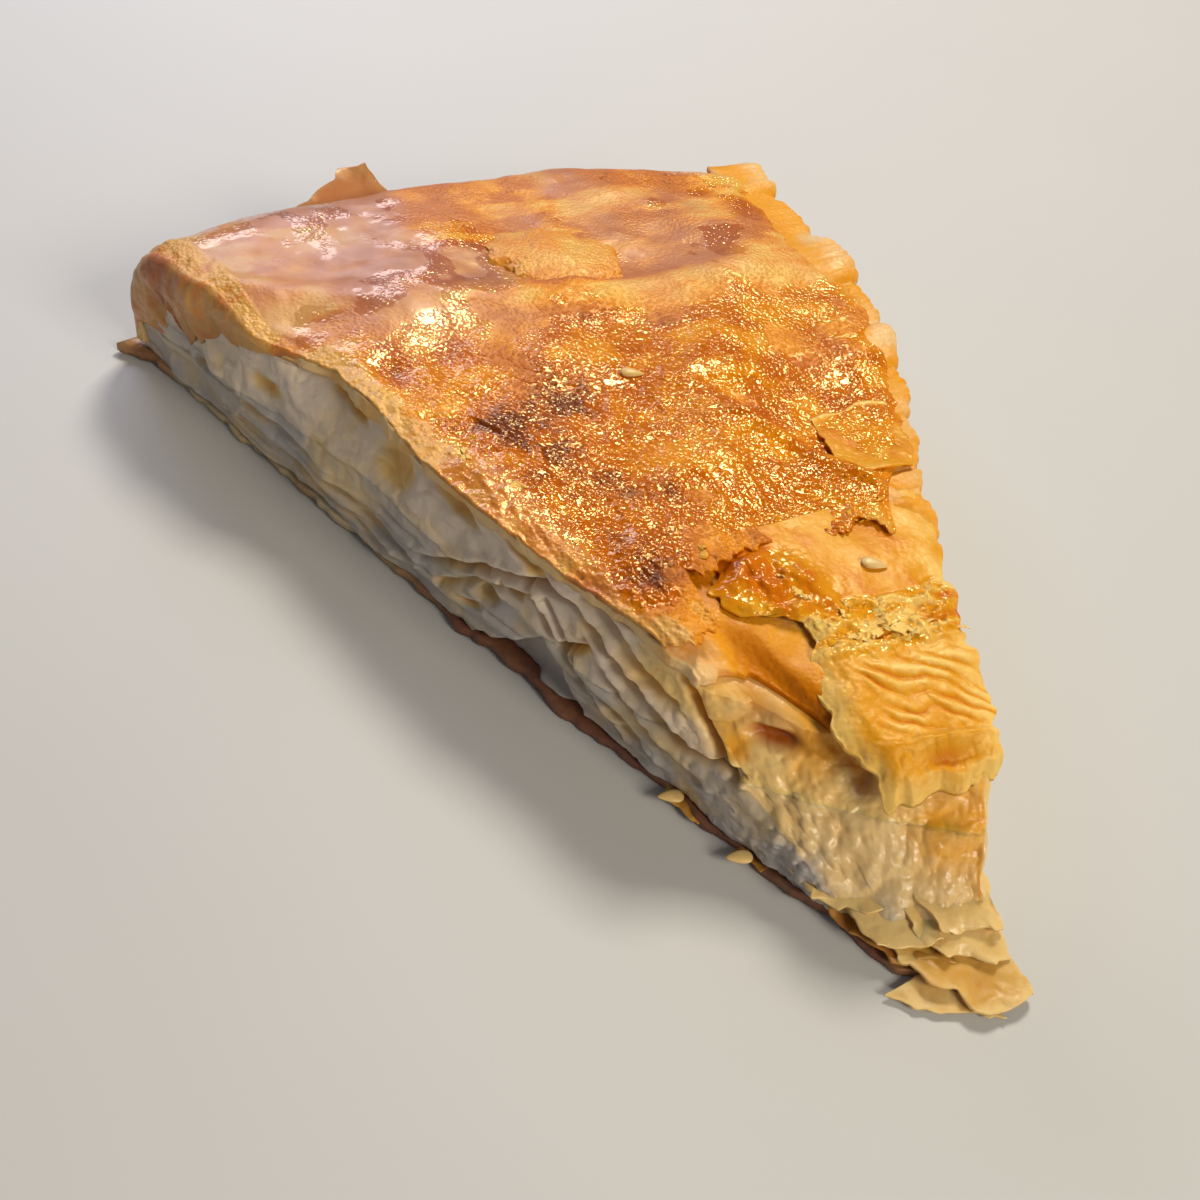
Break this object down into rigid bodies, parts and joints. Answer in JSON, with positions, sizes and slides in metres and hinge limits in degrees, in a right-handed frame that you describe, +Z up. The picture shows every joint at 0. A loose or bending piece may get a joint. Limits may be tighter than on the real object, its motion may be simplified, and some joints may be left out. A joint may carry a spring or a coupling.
{
  "type": "cheese pie slice",
  "caption": "Wedge cut from a round cheese pie: browned flaky top crust rolled over the rim, cheese curd, soft folded pastry and a thin bottom crust, torn at the tip.",
  "frame": {"origin": "on the flat underside of the bottom crust, half way from the slice's tip to the pie's rim, on the slice's middle line", "axes": "+Y from the torn tip to the outer rim, +Z up, +X to the right cut as seen from the tip"},
  "size_m": [0.1196, 0.1724, 0.0276],
  "materials": {
    "bottom_crust": "thin browned pastry, dry and ragged at the edges",
    "soft_pastry": "moist pale folded pastry, soft sheen",
    "cheese_curd": "moist cream cheese curd, slightly translucent",
    "top_crust": "golden brown blistered pastry with an oily glaze"
  },
  "bodies": {
    "root": {"bottom_crust": "bottom_crust", "soft_pastry": "soft_pastry", "cheese_curd": "cheese_curd", "top_crust": "top_crust"}
  },
  "joints": []
}
